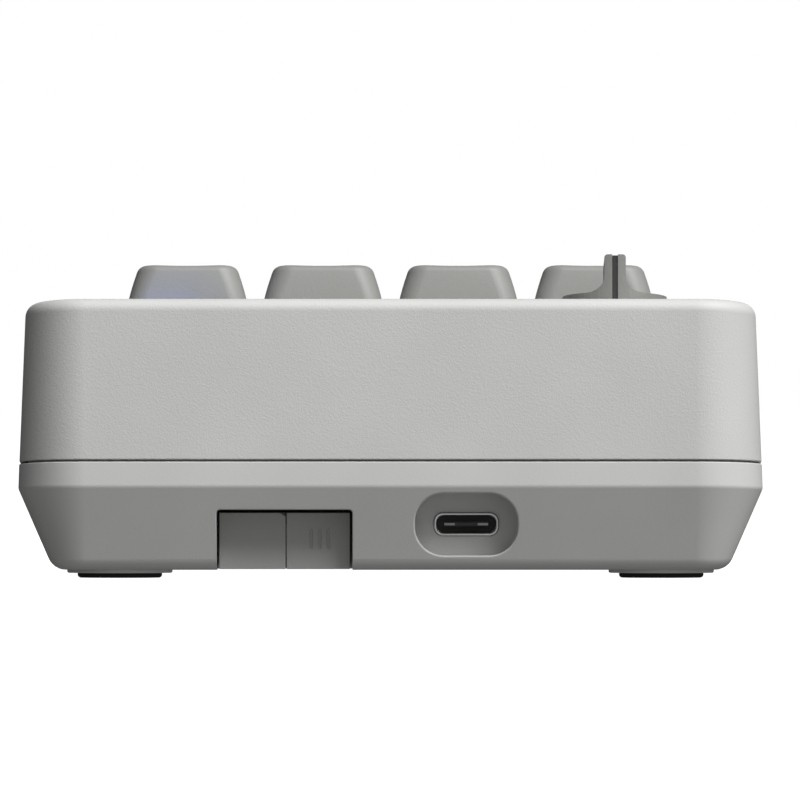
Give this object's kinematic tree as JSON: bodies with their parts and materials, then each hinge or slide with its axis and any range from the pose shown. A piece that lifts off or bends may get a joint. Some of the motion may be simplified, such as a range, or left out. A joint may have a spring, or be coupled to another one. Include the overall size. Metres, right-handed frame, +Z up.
{
  "type": "numeric keypad",
  "caption": "Wedge-shaped numeric keypad with sculpted mechanical keys, a rotary mode selector, a status light, a rear USB-C socket and a wireless receiver stored in a rear bay.",
  "frame": {"origin": "middle of the keypad's footprint, on the surface that its rubber feet stand on", "axes": "+X to the user's right, +Y from the user towards the back with the socket, +Z up"},
  "size_m": [0.1038, 0.14, 0.0452],
  "materials": {
    "case_shell": "light warm grey with a fine leather grain",
    "keycap_dark": "satin mid grey with a fine grain",
    "keycap_light": "satin light grey with a fine grain",
    "knob_plastic": "satin grey",
    "receiver_plastic": "satin grey",
    "stem_plastic": "smooth red",
    "black_rubber": "matte black",
    "silicone": "matte dark grey",
    "bright_steel": "nickel plated",
    "screw_steel": "dark zinc",
    "plate_metal": "satin grey, with black plastic switch housings",
    "circuit_board": "green solder mask",
    "battery_wrap": "smooth wrap",
    "black_plastic": "smooth black",
    "blue_lens": "translucent blue light pipe",
    "led_body": "smooth white"
  },
  "bodies": {
    "case": {"upper_case": "case_shell", "lower_case": "case_shell", "switch_plate": "plate_metal", "main_board": "circuit_board", "usb_board": "circuit_board", "damping_pad": "silicone", "battery_pack": "battery_wrap", "usb_shell": "bright_steel", "usb_tongue": "black_plastic", "selector_switch": "black_plastic", "status_lens": "blue_lens", "status_led": "led_body", "receiver_magnet": "bright_steel", "rubber_foot_front_left": "black_rubber", "case_screw_front_left": "screw_steel", "rubber_foot_rear_left": "black_rubber", "case_screw_rear_left": "screw_steel", "rubber_foot_front_right": "black_rubber", "case_screw_front_right": "screw_steel", "rubber_foot_rear_right": "black_rubber", "case_screw_rear_right": "screw_steel"},
    "selector": {"mode_knob": "knob_plastic", "selector_shaft": "bright_steel"},
    "receiver": {"receiver_body": "receiver_plastic", "receiver_cover": "receiver_plastic", "receiver_plug": "bright_steel"},
    "key_num_lock": {"keycap_num_lock": "keycap_dark", "switch_stem_num_lock": "stem_plastic"},
    "key_divide": {"keycap_divide": "keycap_dark", "switch_stem_divide": "stem_plastic"},
    "key_multiply": {"keycap_multiply": "keycap_dark", "switch_stem_multiply": "stem_plastic"},
    "key_minus": {"keycap_minus": "keycap_dark", "switch_stem_minus": "stem_plastic"},
    "key_digit_7": {"keycap_digit_7": "keycap_light", "switch_stem_digit_7": "stem_plastic"},
    "key_digit_8": {"keycap_digit_8": "keycap_light", "switch_stem_digit_8": "stem_plastic"},
    "key_digit_9": {"keycap_digit_9": "keycap_light", "switch_stem_digit_9": "stem_plastic"},
    "key_plus": {"keycap_plus": "keycap_dark", "switch_stem_plus": "stem_plastic"},
    "key_digit_4": {"keycap_digit_4": "keycap_light", "switch_stem_digit_4": "stem_plastic"},
    "key_digit_5": {"keycap_digit_5": "keycap_light", "switch_stem_digit_5": "stem_plastic"},
    "key_digit_6": {"keycap_digit_6": "keycap_light", "switch_stem_digit_6": "stem_plastic"},
    "key_digit_1": {"keycap_digit_1": "keycap_light", "switch_stem_digit_1": "stem_plastic"},
    "key_digit_2": {"keycap_digit_2": "keycap_light", "switch_stem_digit_2": "stem_plastic"},
    "key_digit_3": {"keycap_digit_3": "keycap_light", "switch_stem_digit_3": "stem_plastic"},
    "key_enter": {"keycap_enter": "keycap_dark", "switch_stem_enter": "stem_plastic"},
    "key_digit_0": {"keycap_digit_0": "keycap_light", "switch_stem_digit_0": "stem_plastic"},
    "key_decimal": {"keycap_decimal": "keycap_light", "switch_stem_decimal": "stem_plastic"}
  },
  "joints": [
    {"name": "mode_select", "type": "hinge", "parent": "case", "child": "selector", "pos_m": [-0.0313, 0.05411, 0.03748], "axis": [0, -0.1045, 0.9945], "range_deg": [-45, 45]},
    {"name": "receiver_slide", "type": "slide", "parent": "case", "child": "receiver", "axis": [0, 1, 0], "range_m": [0, 0.02]},
    {"name": "press_num_lock", "type": "slide", "parent": "case", "child": "key_num_lock", "axis": [0, 0.1045, -0.9945], "range_m": [0, 0.0036], "stiffness_N_per_m": 75, "springref_m": -0.004},
    {"name": "press_divide", "type": "slide", "parent": "case", "child": "key_divide", "axis": [0, 0.1045, -0.9945], "range_m": [0, 0.0036], "stiffness_N_per_m": 75, "springref_m": -0.004},
    {"name": "press_multiply", "type": "slide", "parent": "case", "child": "key_multiply", "axis": [0, 0.1045, -0.9945], "range_m": [0, 0.0036], "stiffness_N_per_m": 75, "springref_m": -0.004},
    {"name": "press_minus", "type": "slide", "parent": "case", "child": "key_minus", "axis": [0, 0.1045, -0.9945], "range_m": [0, 0.0036], "stiffness_N_per_m": 75, "springref_m": -0.004},
    {"name": "press_digit_7", "type": "slide", "parent": "case", "child": "key_digit_7", "axis": [0, 0.1045, -0.9945], "range_m": [0, 0.0036], "stiffness_N_per_m": 75, "springref_m": -0.004},
    {"name": "press_digit_8", "type": "slide", "parent": "case", "child": "key_digit_8", "axis": [0, 0.1045, -0.9945], "range_m": [0, 0.0036], "stiffness_N_per_m": 75, "springref_m": -0.004},
    {"name": "press_digit_9", "type": "slide", "parent": "case", "child": "key_digit_9", "axis": [0, 0.1045, -0.9945], "range_m": [0, 0.0036], "stiffness_N_per_m": 75, "springref_m": -0.004},
    {"name": "press_plus", "type": "slide", "parent": "case", "child": "key_plus", "axis": [0, 0.1045, -0.9945], "range_m": [0, 0.0036], "stiffness_N_per_m": 75, "springref_m": -0.004},
    {"name": "press_digit_4", "type": "slide", "parent": "case", "child": "key_digit_4", "axis": [0, 0.1045, -0.9945], "range_m": [0, 0.0036], "stiffness_N_per_m": 75, "springref_m": -0.004},
    {"name": "press_digit_5", "type": "slide", "parent": "case", "child": "key_digit_5", "axis": [0, 0.1045, -0.9945], "range_m": [0, 0.0036], "stiffness_N_per_m": 75, "springref_m": -0.004},
    {"name": "press_digit_6", "type": "slide", "parent": "case", "child": "key_digit_6", "axis": [0, 0.1045, -0.9945], "range_m": [0, 0.0036], "stiffness_N_per_m": 75, "springref_m": -0.004},
    {"name": "press_digit_1", "type": "slide", "parent": "case", "child": "key_digit_1", "axis": [0, 0.1045, -0.9945], "range_m": [0, 0.0036], "stiffness_N_per_m": 75, "springref_m": -0.004},
    {"name": "press_digit_2", "type": "slide", "parent": "case", "child": "key_digit_2", "axis": [0, 0.1045, -0.9945], "range_m": [0, 0.0036], "stiffness_N_per_m": 75, "springref_m": -0.004},
    {"name": "press_digit_3", "type": "slide", "parent": "case", "child": "key_digit_3", "axis": [0, 0.1045, -0.9945], "range_m": [0, 0.0036], "stiffness_N_per_m": 75, "springref_m": -0.004},
    {"name": "press_enter", "type": "slide", "parent": "case", "child": "key_enter", "axis": [0, 0.1045, -0.9945], "range_m": [0, 0.0036], "stiffness_N_per_m": 75, "springref_m": -0.004},
    {"name": "press_digit_0", "type": "slide", "parent": "case", "child": "key_digit_0", "axis": [0, 0.1045, -0.9945], "range_m": [0, 0.0036], "stiffness_N_per_m": 75, "springref_m": -0.004},
    {"name": "press_decimal", "type": "slide", "parent": "case", "child": "key_decimal", "axis": [0, 0.1045, -0.9945], "range_m": [0, 0.0036], "stiffness_N_per_m": 75, "springref_m": -0.004}
  ]
}
